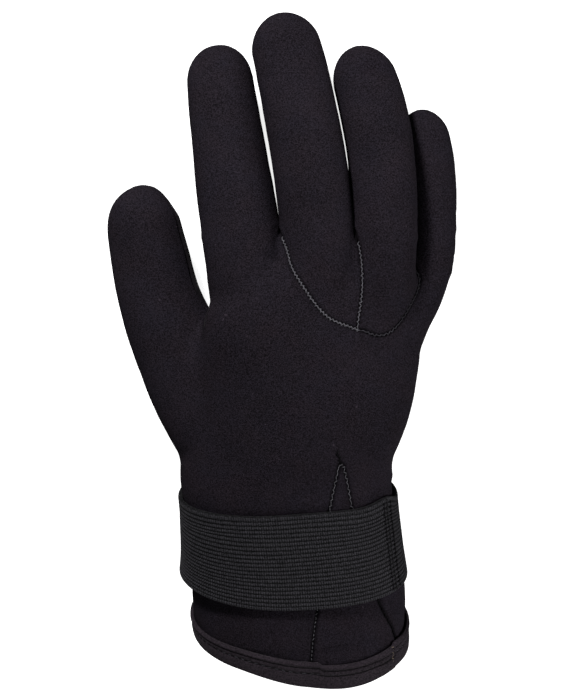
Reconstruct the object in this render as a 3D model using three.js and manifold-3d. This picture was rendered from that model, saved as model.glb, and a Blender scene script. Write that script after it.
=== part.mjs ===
// A right-hand glove of neoprene, lying palm down on its hem and its fingertips.
// Millimetres. +X points to the little finger, +Y to the fingertips, +Z up; the floor is z = 0.

import * as THREE from 'three';
import Module from 'manifold-3d';

const wasm = await Module();
wasm.setup();

// The palm: one form from the hem to the blunt end under the finger roots.
const palmLength = 172;
const palmWidth = 87;
const cuffDepth = 59.6;
const knuckleLift = 46;

// Each digit from its root inside the palm to its tip.
const thumbLength = 111.4;
const thumbWidth = 32;
const thumbDepth = 27;
const indexLength = 117.6;
const indexWidth = 29;
const indexDepth = 26;
const middleLength = 130.6;
const middleWidth = 29.5;
const middleDepth = 26.5;
const ringLength = 117.4;
const ringWidth = 27;
const ringDepth = 25;
const pinkyLength = 106;
const pinkyWidth = 23;
const pinkyDepth = 22;

// Material thicknesses and the clearances between sewn pieces.
const wall = 3;
const seamGap = 0.3;
const layGap = 0.3;

// Hem: the rim is cut on a slant, longest towards the back of the wrist, and dips at the gusset.
const hemSetBack = 2.5;
const hemSlant = 7.5;
const hemTurn = THREE.MathUtils.degToRad(30);
const hemDip = 4.4;
const hemDipAt = THREE.MathUtils.degToRad(74);
const hemDipReach = THREE.MathUtils.degToRad(52);
const slantFade = 40;
const bindingWidth = 9.5;
const bindingThick = 1.2;

// Strap, its hook tab and the loop tape, all round the wrist.
const strapWidth = 40;
const strapThick = 1.6;
const strapFromHem = 30.5;
const strapLean = 2;
const strapSag = 1;
const strapTuckLow = 5;
const strapTuckHigh = 4.5;
const strapStandOff = 3.6;
const tabThick = 1.6;
const patchThick = 1.5;
const patchInset = 3;

// How round the sections are: 2 is an ellipse, more is boxier.
const palmFullness = 2.3;
const digitFullness = 2.1;

// How far the floor flattens the underside of the hem and of the tips of the digits.
const hemPress = 3;
const tipPress = 0.8;

// How far a flat facet may lie from the cut faces that it replaces.
const facetTolerance = 0.05;

// Sections from the root to the end. along and side are shares of the form's length and of its side
// measure, lift of the way from the resting height up to the knuckles, wide and deep of its width and
// depth, and roll is in degrees.
const palmSections = [
  { along: 0, side: 0.012, lift: 0, wide: 1.007, deep: 1, roll: 0 },
  { along: 0.128, side: -0.005, lift: 0.2, wide: 1.025, deep: 0.96, roll: 0 },
  { along: 0.244, side: -0.023, lift: 0.38, wide: 0.993, deep: 0.906, roll: 0 },
  { along: 0.36, side: -0.048, lift: 0.556, wide: 0.988, deep: 0.859, roll: 0 },
  { along: 0.453, side: -0.062, lift: 0.68, wide: 1, deep: 0.819, roll: -1 },
  { along: 0.547, side: -0.03, lift: 0.815, wide: 0.968, deep: 0.785, roll: -3 },
  { along: 0.64, side: 0.019, lift: 0.914, wide: 1.004, deep: 0.752, roll: -5 },
  { along: 0.733, side: 0.048, lift: 0.963, wide: 1.016, deep: 0.718, roll: -7 },
  { along: 0.826, side: 0.061, lift: 0.975, wide: 1.007, deep: 0.685, roll: -9 },
  { along: 1, side: 0.08, lift: 0.963, wide: 0.943, deep: 0.624, roll: -10 },
];
const thumbSections = [
  { along: 0, side: 0, lift: 0.855, wide: 1.06, deep: 1.11, roll: 0 },
  { along: 0.126, side: -0.094, lift: 0.811, wide: 1.25, deep: 1.3, roll: 5 },
  { along: 0.269, side: -0.174, lift: 0.709, wide: 1.3, deep: 1.27, roll: 12 },
  { along: 0.431, side: -0.26, lift: 0.549, wide: 1.19, deep: 1.185, roll: 18 },
  { along: 0.592, side: -0.329, lift: 0.375, wide: 1.08, deep: 1.11, roll: 22 },
  { along: 0.736, side: -0.364, lift: 0.23, wide: 1.03, deep: 1.067, roll: 22 },
  { along: 0.88, side: -0.39, lift: 0.105, wide: 0.94, deep: 1.007, roll: 22 },
  { along: 1, side: -0.384, lift: 0, wide: 0.81, deep: 0.92, roll: 22 },
];
const indexSections = [
  { along: 0, side: 0, lift: 0.957, wide: 0.76, deep: 0.92, roll: 4 },
  { along: 0.169, side: -0.026, lift: 0.986, wide: 1.05, deep: 1.17, roll: 4 },
  { along: 0.304, side: -0.037, lift: 0.966, wide: 1.1, deep: 1.15, roll: 4 },
  { along: 0.455, side: -0.061, lift: 0.847, wide: 1.075, deep: 1.09, roll: 4 },
  { along: 0.607, side: -0.084, lift: 0.67, wide: 1.03, deep: 1.02, roll: 4 },
  { along: 0.767, side: -0.108, lift: 0.449, wide: 0.97, deep: 0.97, roll: 4 },
  { along: 0.894, side: -0.126, lift: 0.222, wide: 0.917, deep: 0.93, roll: 4 },
  { along: 1, side: -0.129, lift: 0, wide: 0.855, deep: 0.89, roll: 4 },
];
const middleSections = [
  { along: 0, side: 0, lift: 0.986, wide: 0.746, deep: 0.943, roll: 0 },
  { along: 0.153, side: -0.004, lift: 1.029, wide: 1.017, deep: 1.192, roll: 0 },
  { along: 0.291, side: -0.007, lift: 1.017, wide: 1.01, deep: 1.162, roll: 0 },
  { along: 0.459, side: -0.022, lift: 0.903, wide: 0.997, deep: 1.094, roll: 0 },
  { along: 0.628, side: -0.048, lift: 0.703, wide: 1.003, deep: 1.034, roll: 0 },
  { along: 0.77, side: -0.076, lift: 0.463, wide: 0.983, deep: 0.981, roll: 0 },
  { along: 0.881, side: -0.101, lift: 0.234, wide: 0.963, deep: 0.936, roll: 0 },
  { along: 1, side: -0.1375, lift: 0, wide: 0.881, deep: 0.89, roll: 0 },
];
const ringSections = [
  { along: 0, side: 0, lift: 0.9, wide: 0.74, deep: 0.96, roll: -6 },
  { along: 0.169, side: 0.018, lift: 0.938, wide: 1.007, deep: 1.2, roll: -6 },
  { along: 0.321, side: 0.029, lift: 0.921, wide: 0.993, deep: 1.168, roll: -6 },
  { along: 0.474, side: 0.035, lift: 0.802, wide: 0.978, deep: 1.104, roll: -6 },
  { along: 0.601, side: 0.029, lift: 0.66, wide: 0.985, deep: 1.056, roll: -6 },
  { along: 0.728, side: 0.014, lift: 0.49, wide: 0.993, deep: 1.024, roll: -6 },
  { along: 0.846, side: -0.013, lift: 0.28, wide: 0.978, deep: 0.984, roll: -6 },
  { along: 1, side: -0.064, lift: 0, wide: 0.889, deep: 0.92, roll: -6 },
];
const pinkySections = [
  { along: 0, side: 0, lift: 0.89, wide: 0.78, deep: 0.955, roll: -12 },
  { along: 0.15, side: 0.051, lift: 0.836, wide: 1.043, deep: 1.27, roll: -16 },
  { along: 0.244, side: 0.096, lift: 0.738, wide: 1.043, deep: 1.236, roll: -16 },
  { along: 0.328, side: 0.146, lift: 0.604, wide: 1.026, deep: 1.145, roll: -16 },
  { along: 0.441, side: 0.189, lift: 0.454, wide: 1, deep: 1.073, roll: -16 },
  { along: 0.572, side: 0.204, lift: 0.311, wide: 0.991, deep: 1.018, roll: -16 },
  { along: 0.704, side: 0.205, lift: 0.191, wide: 0.991, deep: 0.991, roll: -14 },
  { along: 0.835, side: 0.197, lift: 0.104, wide: 0.957, deep: 0.973, roll: -12 },
  { along: 1, side: 0.162, lift: 0, wide: 0.852, deep: 0.927, roll: -10 },
];

// Where each digit's root sits in the palm, and how much of its length its round tip takes.
// across is a share of the palm's width, up of its length, tip of the digit's width.
const palmForm = {
  sections: palmSections, length: palmLength, width: palmWidth, depth: cuffDepth, sideMeasure: palmWidth,
  across: 0, up: 0, tip: 0.39, fullness: palmFullness, sides: 24, rings: 10, capRings: 4,
};
const digit = { fullness: digitFullness, sides: 16, rings: 9, capRings: 4 };
const thumbForm = {
  ...digit, sections: thumbSections, length: thumbLength, width: thumbWidth, depth: thumbDepth,
  across: -0.241, up: 0.465, tip: 0.53,
};
const indexForm = {
  ...digit, sections: indexSections, length: indexLength, width: indexWidth, depth: indexDepth,
  across: -0.201, up: 0.756, tip: 0.5,
};
const middleForm = {
  ...digit, sections: middleSections, length: middleLength, width: middleWidth, depth: middleDepth,
  across: 0.098, up: 0.756, tip: 0.51,
};
const ringForm = {
  ...digit, sections: ringSections, length: ringLength, width: ringWidth, depth: ringDepth,
  across: 0.339, up: 0.756, tip: 0.54,
};
const pinkyForm = {
  ...digit, sections: pinkySections, length: pinkyLength, width: pinkyWidth, depth: pinkyDepth,
  across: 0.356, up: 0.674, tip: 0.54,
};

// Turns a form's table into real sizes: spine points, half sizes and the distance along the spine.
function layOut(form) {
  const isPalm = form === palmForm;
  const seated = isPalm ? form.sections[0] : form.sections.at(-1);
  form.rest = seated.deep * form.depth / 2 - (isPalm ? hemPress : tipPress);
  form.floor = isPalm ? bindingThick + seamGap : 0;
  form.rows = form.sections.map((section) => [
    form.across * palmWidth + section.side * (form.sideMeasure ?? form.length),
    form.up * palmLength + section.along * form.length,
    form.rest + section.lift * (knuckleLift - form.rest),
    section.wide * form.width / 2,
    section.deep * form.depth / 2,
    THREE.MathUtils.degToRad(section.roll),
  ]);
  form.marks = [0];
  for (let i = 1; i < form.rows.length; i += 1) {
    const step = Math.hypot(...[0, 1, 2].map((axis) => form.rows[i][axis] - form.rows[i - 1][axis]));
    form.marks.push(form.marks[i - 1] + step);
  }
  form.reach = form.marks.at(-1);
  form.cap = form.tip * form.width;
}

const digitForms = [thumbForm, indexForm, middleForm, ringForm, pinkyForm];
const forms = [palmForm, ...digitForms];
forms.forEach(layOut);

// The slope of one column at one row, from the rows beside it.
function slopeAt(form, row, column) {
  const before = Math.max(row - 1, 0);
  const after = Math.min(row + 1, form.rows.length - 1);
  const rise = form.rows[after][column] - form.rows[before][column];
  return rise / (form.marks[after] - form.marks[before]);
}

// All columns at a distance along the spine, on a cubic through the rows, straight beyond both ends.
function rowAt(form, distance) {
  const inside = THREE.MathUtils.clamp(distance, 0, form.reach);
  const row = Math.min(form.marks.findLastIndex((mark) => mark <= inside), form.rows.length - 2);
  const span = form.marks[row + 1] - form.marks[row];
  const t = (inside - form.marks[row]) / span;
  const endRow = distance < 0 ? 0 : form.rows.length - 1;
  return form.rows[row].map((value, column) => {
    const next = form.rows[row + 1][column];
    const curve = (2 * t ** 3 - 3 * t ** 2 + 1) * value + (3 * t ** 2 - 2 * t ** 3) * next
      + (t ** 3 - 2 * t ** 2 + t) * span * slopeAt(form, row, column)
      + (t ** 3 - t ** 2) * span * slopeAt(form, row + 1, column);
    return curve + (distance - inside) * slopeAt(form, endRow, column);
  });
}

// A point on a form's skin. angle is 0 at the little finger's side and 90 degrees on the back of the
// hand; off moves the skin outwards; the floor flattens it below.
function skinPoint(form, distance, angle, off) {
  const row = rowAt(form, distance);
  const centre = new THREE.Vector3(row[0], row[1], row[2]);
  const ahead = rowAt(form, Math.min(distance + 0.5, form.reach));
  const behind = rowAt(form, Math.min(distance - 0.5, form.reach - 1));
  const tangent = new THREE.Vector3(ahead[0] - behind[0], ahead[1] - behind[1], ahead[2] - behind[2]);
  tangent.normalize();
  const side = new THREE.Vector3(0, 0, 1).cross(tangent).negate().normalize();
  const up = side.clone().cross(tangent);
  const turned = side.clone().multiplyScalar(Math.cos(row[5])).addScaledVector(up, Math.sin(row[5]));
  up.multiplyScalar(Math.cos(row[5])).addScaledVector(side, -Math.sin(row[5]));
  const intoCap = Math.max(0, distance - (form.reach - form.cap)) / (form.cap + off);
  const shrink = Math.sqrt(Math.max(0, 1 - intoCap ** 2));
  const power = 2 / form.fullness;
  const cosine = Math.cos(angle);
  const sine = Math.sin(angle);
  const x = Math.sign(cosine) * Math.abs(cosine) ** power * (row[3] + off) * shrink;
  const z = Math.sign(sine) * Math.abs(sine) ** power * (row[4] + off) * shrink;
  const point = centre.addScaledVector(turned, x).addScaledVector(up, z);
  point.z = Math.max(point.z, form.floor - off);
  return point;
}

// The slanted hem: how far along the spine the rim lies at each angle, fading out up the wrist.
function hemDistance(distance, angle) {
  const fade = Math.max(0, 1 - Math.max(distance, 0) / slantFade);
  const fromDip = Math.abs(angle - hemDipAt) / hemDipReach;
  const dip = hemDip * Math.cos(Math.min(fromDip, 1) * Math.PI / 2) ** 2;
  return distance + (hemSetBack - hemSlant * Math.cos(angle - hemTurn) - dip) * fade;
}

// A closed solid from points and triangles, turned to face outwards.
function solidOf(points, triangles) {
  let volume = 0;
  for (const [a, b, c] of triangles) {
    volume += points[a].dot(points[b].clone().cross(points[c]));
  }
  const facing = volume > 0 ? triangles : triangles.map(([a, b, c]) => [a, c, b]);
  const vertProperties = new Float32Array(points.flatMap((point) => point.toArray()));
  return new wasm.Manifold(new wasm.Mesh({
    numProp: 3, vertProperties, triVerts: new Uint32Array(facing.flat()),
  }));
}

// The palm has sections where the hem tape bends, so that the two follow the same facets.
const tapeBends = [-bindingWidth / 4, 0, bindingWidth / 2];

// Lofts a form from a start distance to its round end, as the whole section or one half of it.
// A half is closed by the flat strip through the spine, which drop lowers. The start face follows the
// rim for twice the wall before it closes across the middle.
function loft(form, { part = 'whole', off = 0, start = 0, drop = 0 } = {}) {
  const half = form.sides / 2;
  const count = part === 'whole' ? form.sides : half + 1;
  const first = part === 'lower' ? half : 0;
  const rings = [{ distance: start, skin: off - 2 * wall }];
  const hemRings = form === palmForm ? [start, ...tapeBends.filter((bend) => bend > start)] : [];
  hemRings.forEach((distance) => rings.push({ distance, skin: off }));
  const evenStart = form === palmForm ? bindingWidth : start;
  for (let i = 0; i <= form.rings; i += 1) {
    rings.push({ distance: evenStart + (form.reach - form.cap - evenStart) * i / form.rings, skin: off });
  }
  for (let i = 1; i < form.capRings; i += 1) {
    const intoCap = (form.cap + off) * Math.sin(i / form.capRings * Math.PI / 2);
    rings.push({ distance: form.reach - form.cap + intoCap, skin: off });
  }
  const points = [];
  const triangles = [];
  rings.forEach(({ distance, skin }, ring) => {
    for (let i = 0; i < count; i += 1) {
      const angle = (first + i) / half * Math.PI;
      const along = form === palmForm ? hemDistance(distance, angle) : distance;
      const point = skinPoint(form, along, angle, skin);
      const isEdge = part !== 'whole' && (i === 0 || i === count - 1);
      point.z -= isEdge ? drop : 0;
      points.push(point);
    }
    if (ring === 0) return;
    for (let i = 0; i < count; i += 1) {
      const [a, b] = [(ring - 1) * count + i, (ring - 1) * count + (i + 1) % count];
      triangles.push([a, a + count, b + count], [a, b + count, b]);
    }
  });
  for (let i = 1; i < count - 1; i += 1) {
    triangles.push([0, i, i + 1]);
  }
  const lastRing = points.length - count;
  points.push(skinPoint(form, form.reach + off, 0, off));
  for (let i = 0; i < count; i += 1) {
    triangles.push([lastRing + i, points.length - 1, lastRing + (i + 1) % count]);
  }
  return solidOf(points, triangles);
}

function joined(solids) {
  return solids.reduce((sum, solid) => sum.add(solid));
}

// The one body that a cut leaves, without the crumbs at its corners and the slivers on its faces.
function mainBody(solid) {
  return solid.simplify(facetTolerance).decompose().sort((a, b) => b.volume() - a.volume())[0];
}

// The glove's skins: the hollow runs on out of the hem, so that the cuff is open.
const hollowStart = -2 * bindingWidth;
const hollow = joined(forms.map((form) => loft(form, {
  off: -wall, start: form === palmForm ? hollowStart : 0,
})));
const backSkin = joined(forms.map((form) => loft(form, { part: 'upper' }))).subtract(hollow);
const backCutter = joined(forms.map((form) => loft(form, {
  part: 'upper', off: seamGap, drop: seamGap, start: form === palmForm ? hollowStart : 0,
})));
const palmSkin = joined(forms.map((form) => loft(form, { part: 'lower' })))
  .subtract(backCutter).subtract(hollow);

// A seam drawn in plan, as shares of the palm's width and length, and smoothed.
function seamLine(table) {
  const knots = table.map(({ side, along }) => new THREE.Vector3(side * palmWidth, along * palmLength, 0));
  return new THREE.CatmullRomCurve3(knots).getPoints(4 * (knots.length - 1));
}

// Moves a seam line sideways, to its right when it is walked in its own order.
function shifted(line, amount) {
  return line.map((point, i) => {
    const run = line[Math.min(i + 1, line.length - 1)].clone().sub(line[Math.max(i - 1, 0)]).normalize();
    return new THREE.Vector3(point.x + run.y * amount, point.y - run.x * amount, 0);
  });
}

// A prism over an outline in plan. lean tilts it towards +X, by so much for each unit of height.
function prism(outline, lean = 0) {
  const shape = new THREE.Shape(outline.map((point) => new THREE.Vector2(point.x, point.y)));
  const height = 2 * knuckleLift;
  const geometry = new THREE.ExtrudeGeometry(shape, { depth: height, bevelEnabled: false });
  geometry.applyMatrix4(new THREE.Matrix4().makeShear(0, 0, 0, 0, lean, 0));
  const position = geometry.getAttribute('position');
  const points = [];
  const numbers = new Map();
  const corner = [];
  for (let i = 0; i < position.count; i += 1) {
    const point = new THREE.Vector3().fromBufferAttribute(position, i);
    const key = point.toArray().map((value) => value.toFixed(4)).join();
    if (!numbers.has(key)) {
      numbers.set(key, points.length);
      points.push(point);
    }
    corner.push(numbers.get(key));
  }
  const triangles = [];
  for (let i = 0; i < corner.length; i += 3) {
    triangles.push(corner.slice(i, i + 3));
  }
  return solidOf(points, triangles);
}

// Seams on the back of the hand. The U seam falls from the fork of the index and middle fingers to
// the knuckles, and climbs to the fork of the ring and little fingers; both run on between the
// fingers. The climbing side leans over the little finger, so its side is taken at floor height.
const uSeamFall = [
  { side: -0.3, along: 1.6 },
  { side: -0.262, along: 1.48 },
  { side: -0.2, along: 1.34 },
  { side: -0.14, along: 1.2 },
  { side: -0.095, along: 1.08 },
  { side: -0.047, along: 0.975 },
  { side: 0, along: 0.933 },
  { side: 0.118, along: 0.857 },
  { side: 0.259, along: 0.822 },
  { side: 0.35, along: 0.79 },
];
const uSeamClimb = [
  { side: -0.456, along: 0.822 },
  { side: -0.344, along: 0.806 },
  { side: -0.254, along: 0.81 },
  { side: -0.157, along: 0.838 },
  { side: -0.081, along: 0.867 },
  { side: 0.02, along: 0.898 },
  { side: 0.11, along: 0.945 },
  { side: 0.16, along: 1.03 },
  { side: 0.205, along: 1.11 },
  { side: 0.23, along: 1.45 },
];
const centreSeam = [
  { side: 0.04, along: 1.62 },
  { side: 0.09, along: 1.54 },
  { side: 0.122, along: 1.442 },
  { side: 0.158, along: 1.337 },
  { side: 0.202, along: 1.221 },
  { side: 0.231, along: 1.115 },
  { side: 0.262, along: 1.03 },
  { side: 0.282, along: 0.927 },
  { side: 0.259, along: 0.822 },
  { side: 0.256, along: 0.7 },
];
const gussetSeam = [
  { side: 0.03, along: -0.3 },
  { side: 0.057, along: 0.026 },
  { side: 0.08, along: 0.138 },
  { side: 0.138, along: 0.39 },
  { side: 0.161, along: 0.453 },
  { side: 0.188, along: 0.51 },
  { side: 0.215, along: 0.463 },
  { side: 0.241, along: 0.396 },
  { side: 0.368, along: 0.15 },
  { side: 0.458, along: 0.042 },
  { side: 0.65, along: -0.3 },
];

// Far corners that close a cutter's outline well outside the glove.
const farSide = 2 * palmWidth;
const farEnd = 2 * palmLength;

function uRegion(grow) {
  const fall = shifted(seamLine(uSeamFall), grow);
  const climb = shifted(seamLine(uSeamClimb), grow);
  const fallSide = prism([
    new THREE.Vector2(farSide, farEnd), new THREE.Vector2(fall[0].x, farEnd), ...fall,
    new THREE.Vector2(farSide, fall.at(-1).y),
  ]);
  const climbSide = prism([
    new THREE.Vector2(-farSide, fall.at(-1).y), ...climb,
    new THREE.Vector2(climb.at(-1).x, farEnd), new THREE.Vector2(-farSide, farEnd),
  ], 1);
  return fallSide.intersect(climbSide);
}

// The side of the centre seam that the ring finger is on.
function ringRegion(grow) {
  const line = shifted(seamLine(centreSeam), grow);
  return prism([
    new THREE.Vector2(farSide, farEnd), new THREE.Vector2(line[0].x, farEnd), ...line,
    new THREE.Vector2(farSide, line.at(-1).y),
  ]);
}

const half = seamGap / 2;
const uPiece = backSkin.intersect(uRegion(-half));
const gussetOutline = seamLine(gussetSeam);
const gusset = backSkin.intersect(prism(shifted(gussetOutline, half)));
const back = backSkin.subtract(uRegion(half)).subtract(prism(shifted(gussetOutline, -half)));

// A folded tape or a strap: a band round the palm form, with its two faces given by functions.
function wristBand({ from, to, steps, rows, inner, outer, edge }) {
  const points = [];
  const triangles = [];
  const across = rows + 1;
  const layer = (steps + 1) * across;
  for (const face of [inner, outer]) {
    for (let i = 0; i <= steps; i += 1) {
      const angle = THREE.MathUtils.lerp(from, to, i / steps);
      for (let k = 0; k <= rows; k += 1) {
        points.push(skinPoint(palmForm, edge(angle, k / rows), angle, face(angle, k / rows)));
      }
    }
  }
  const quad = (a, b, c, d) => triangles.push([a, b, c], [a, c, d]);
  for (let i = 0; i < steps; i += 1) {
    for (let k = 0; k < rows; k += 1) {
      const at = i * across + k;
      quad(at, at + 1, at + across + 1, at + across);
      quad(layer + at, layer + at + across, layer + at + across + 1, layer + at + 1);
    }
    const [low, high] = [i * across, i * across + rows];
    quad(low, low + across, layer + low + across, layer + low);
    quad(high, layer + high, layer + high + across, high + across);
  }
  for (let k = 0; k < rows; k += 1) {
    const [near, far] = [k, steps * across + k];
    quad(near, layer + near, layer + near + 1, near + 1);
    quad(far, far + 1, layer + far + 1, layer + far);
  }
  return solidOf(points, triangles);
}

// Hem binding: a tape folded over the rim, with the same slant, closed all the way round. Its faces
// are split along the same diagonals as the wall's, so that the gap between them stays even.
function bindingSolid() {
  const faceOff = seamGap + bindingThick;
  const inside = -wall - seamGap;
  const profile = [
    [bindingWidth, seamGap], [bindingWidth, faceOff], [bindingWidth / 2, faceOff], [-seamGap, faceOff],
    [-faceOff, seamGap], [-faceOff, inside], [-seamGap, inside - bindingThick],
    [bindingWidth / 2, inside - bindingThick], [bindingWidth, inside - bindingThick],
    [bindingWidth, inside], [bindingWidth / 2, inside], [-seamGap, inside],
    [-seamGap, seamGap], [bindingWidth / 2, seamGap],
  ];
  const points = [];
  const triangles = [];
  for (let i = 0; i < palmForm.sides; i += 1) {
    const angle = i / palmForm.sides * 2 * Math.PI;
    for (const [along, off] of profile) {
      const rim = hemDistance(0, angle);
      const distance = along < 0 ? rim + along : hemDistance(along, angle);
      points.push(skinPoint(palmForm, distance, angle, off));
    }
    for (let k = 0; k < profile.length; k += 1) {
      const next = (k + 1) % profile.length;
      const [a, b] = [i * profile.length + k, i * profile.length + next];
      const after = (i + 1) % palmForm.sides * profile.length;
      const [c, d] = [after + next, after + k];
      const splits = profile[next][0] < profile[k][0] ? [[a, b, d], [b, c, d]] : [[a, b, c], [a, c, d]];
      triangles.push(...splits);
    }
  }
  return solidOf(points, triangles);
}

// Where the strap starts and ends round the wrist, in degrees from the little finger's side.
const degrees = THREE.MathUtils.degToRad;
const strapJoint = degrees(30);
const strapSewnEnd = degrees(238);
const tabJoint = degrees(29);
const tabEnd = degrees(-84);
const patchStart = degrees(-112);
const patchEnd = degrees(-46);
const tabStep = degrees(12);

// The strap stands off the cuff at its lower edge on the thumb's side.
function strapLift(angle, share) {
  const sideways = Math.max(0, Math.cos(angle - Math.PI)) ** 2;
  return strapStandOff * sideways * (1 - share);
}

// The strap lies level across a wrist that leans to the thumb. Its lower edge sags on the back and is
// drawn in on the thumb's side, and its upper edge is drawn in on the little finger's side.
function strapLine(angle, inFromEdge, share) {
  const sag = strapSag * Math.max(0, Math.sin(angle)) * (1 - share);
  const tuckLow = strapTuckLow * Math.max(0, -Math.cos(angle)) ** 2 * (1 - share);
  const tuckHigh = strapTuckHigh * Math.max(0, Math.cos(angle)) ** 2 * share;
  const width = strapWidth - 2 * inFromEdge;
  const level = strapFromHem + inFromEdge + width * share - strapLean * Math.cos(angle);
  return level - sag + tuckLow - tuckHigh;
}
const strapEdge = (angle, share) => strapLine(angle, 0, share);
const strap = wristBand({
  from: strapJoint, to: strapSewnEnd, steps: 22, rows: 3, edge: strapEdge,
  inner: (angle, share) => layGap + strapLift(angle, share),
  outer: (angle, share) => layGap + strapThick + strapLift(angle, share),
});

// The tab lies on the glove at the strap's end and climbs over the edge of the loop tape.
function tabFace(angle) {
  const climb = THREE.MathUtils.smoothstep(-angle, -patchEnd - tabStep, -patchEnd - tabStep / 3);
  return layGap + climb * (patchThick + layGap);
}
const tab = wristBand({
  from: tabEnd, to: tabJoint, steps: 18, rows: 1, edge: strapEdge,
  inner: tabFace,
  outer: (angle) => tabFace(angle) + tabThick,
});
const patch = wristBand({
  from: patchStart, to: patchEnd, steps: 9, rows: 1,
  edge: (angle, share) => strapLine(angle, patchInset, share),
  inner: () => layGap,
  outer: () => layGap + patchThick,
});

// Finishes of the real materials.
const finishes = {
  neoprene: { color: 0x26232a, roughness: 0.9, metalness: 0 },
  knuckleNeoprene: { color: 0x29262d, roughness: 0.9, metalness: 0 },
  gripPalm: { color: 0x1d1b20, roughness: 0.75, metalness: 0 },
  edgeTape: { color: 0x2a262b, roughness: 0.85, metalness: 0 },
  elastic: { color: 0x2e2e32, roughness: 0.8, metalness: 0 },
  hookTape: { color: 0x202024, roughness: 0.7, metalness: 0 },
  loopTape: { color: 0x242428, roughness: 0.95, metalness: 0 },
};

function meshOf(name, solid, finish) {
  const { numProp, vertProperties, triVerts } = solid.getMesh();
  const geometry = new THREE.BufferGeometry();
  geometry.setAttribute('position', new THREE.BufferAttribute(vertProperties, numProp));
  geometry.setIndex(new THREE.BufferAttribute(triVerts, 1));
  geometry.computeVertexNormals();
  const mesh = new THREE.Mesh(geometry, new THREE.MeshStandardMaterial(finishes[finish]));
  mesh.name = name;
  return mesh;
}

const glove = new THREE.Group();
glove.add(
  meshOf('back_panel', mainBody(back), 'neoprene'),
  meshOf('middle_finger_back', mainBody(uPiece.subtract(ringRegion(half))), 'knuckleNeoprene'),
  meshOf('ring_finger_back', mainBody(uPiece.intersect(ringRegion(-half))), 'knuckleNeoprene'),
  meshOf('palm_panel', mainBody(palmSkin), 'gripPalm'),
  meshOf('wrist_gusset', mainBody(gusset), 'neoprene'),
  meshOf('hem_binding', bindingSolid(), 'edgeTape'),
  meshOf('wrist_strap', strap, 'elastic'),
  meshOf('strap_hook_tab', tab, 'hookTape'),
  meshOf('loop_patch', patch, 'loopTape'),
);

// The origin is the middle of the glove's footprint, on the floor.
const box = new THREE.Box3().setFromObject(glove);
const middle = box.getCenter(new THREE.Vector3());
glove.position.set(-middle.x, -middle.y, -box.min.z);
glove.updateMatrixWorld(true);

export default glove;
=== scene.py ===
# A right-hand glove of three-millimetre neoprene, lying palm down, with a ribbed elastic wrist strap.
# Lengths are in millimetres until a mesh is made; the meshes are in metres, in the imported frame.
import math

import bpy
import numpy as np
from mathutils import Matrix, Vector, noise
from mathutils.bvhtree import BVHTree
from mathutils.kdtree import KDTree


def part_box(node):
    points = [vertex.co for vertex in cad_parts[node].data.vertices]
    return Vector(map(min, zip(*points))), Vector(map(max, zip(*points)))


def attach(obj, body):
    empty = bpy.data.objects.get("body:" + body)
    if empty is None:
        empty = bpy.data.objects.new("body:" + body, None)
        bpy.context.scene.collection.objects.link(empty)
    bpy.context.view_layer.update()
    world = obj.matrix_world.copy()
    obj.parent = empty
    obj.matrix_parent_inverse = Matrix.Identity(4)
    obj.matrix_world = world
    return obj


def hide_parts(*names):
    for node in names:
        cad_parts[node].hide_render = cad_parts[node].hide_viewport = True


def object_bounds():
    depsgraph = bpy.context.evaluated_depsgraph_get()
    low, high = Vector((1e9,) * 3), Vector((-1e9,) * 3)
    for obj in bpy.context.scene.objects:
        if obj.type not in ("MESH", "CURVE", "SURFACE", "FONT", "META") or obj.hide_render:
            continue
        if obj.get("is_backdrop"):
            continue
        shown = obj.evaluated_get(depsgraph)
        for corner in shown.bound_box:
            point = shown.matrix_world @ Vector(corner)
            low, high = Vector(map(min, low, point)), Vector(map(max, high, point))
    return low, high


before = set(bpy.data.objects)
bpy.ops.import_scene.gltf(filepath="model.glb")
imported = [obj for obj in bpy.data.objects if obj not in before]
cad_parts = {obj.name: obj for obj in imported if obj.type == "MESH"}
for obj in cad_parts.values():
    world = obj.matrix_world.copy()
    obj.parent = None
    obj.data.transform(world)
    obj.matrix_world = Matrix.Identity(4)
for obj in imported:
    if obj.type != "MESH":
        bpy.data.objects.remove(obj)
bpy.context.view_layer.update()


# The skin of the glove
# Sheets of foamed rubber with a knitted jersey on both sides, cut to shape and sewn edge to edge
# into one hollow hand. The palm and each digit are a tube with a flattened section and a round end.
MM = 0.001
palm_length = 172.0
palm_width = 87.0
knuckle_lift = 46.0
wall = 3.0
tape_thick = 1.2
sewn_gap = 0.3

# Each section: along and side as shares of the length and the side measure, lift as a share of the
# way up to the knuckles, wide and deep as shares of the width and the depth, and roll in degrees.
palm = {
    "length": palm_length, "width": palm_width, "depth": 59.6, "side_measure": palm_width,
    "across": 0.0, "up": 0.0, "tip": 0.39, "fullness": 2.3, "press": 3.0,
    "floor": tape_thick + sewn_gap, "seated": 0,
    "sections": [
        (0, 0.012, 0, 1.007, 1, 0),
        (0.128, -0.005, 0.2, 1.025, 0.96, 0),
        (0.244, -0.023, 0.38, 0.993, 0.906, 0),
        (0.36, -0.048, 0.556, 0.988, 0.859, 0),
        (0.453, -0.062, 0.68, 1, 0.819, -1),
        (0.547, -0.03, 0.815, 0.968, 0.785, -3),
        (0.64, 0.019, 0.914, 1.004, 0.752, -5),
        (0.733, 0.048, 0.963, 1.016, 0.718, -7),
        (0.826, 0.061, 0.975, 1.007, 0.685, -9),
        (1, 0.08, 0.963, 0.943, 0.624, -10),
    ],
}
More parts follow.
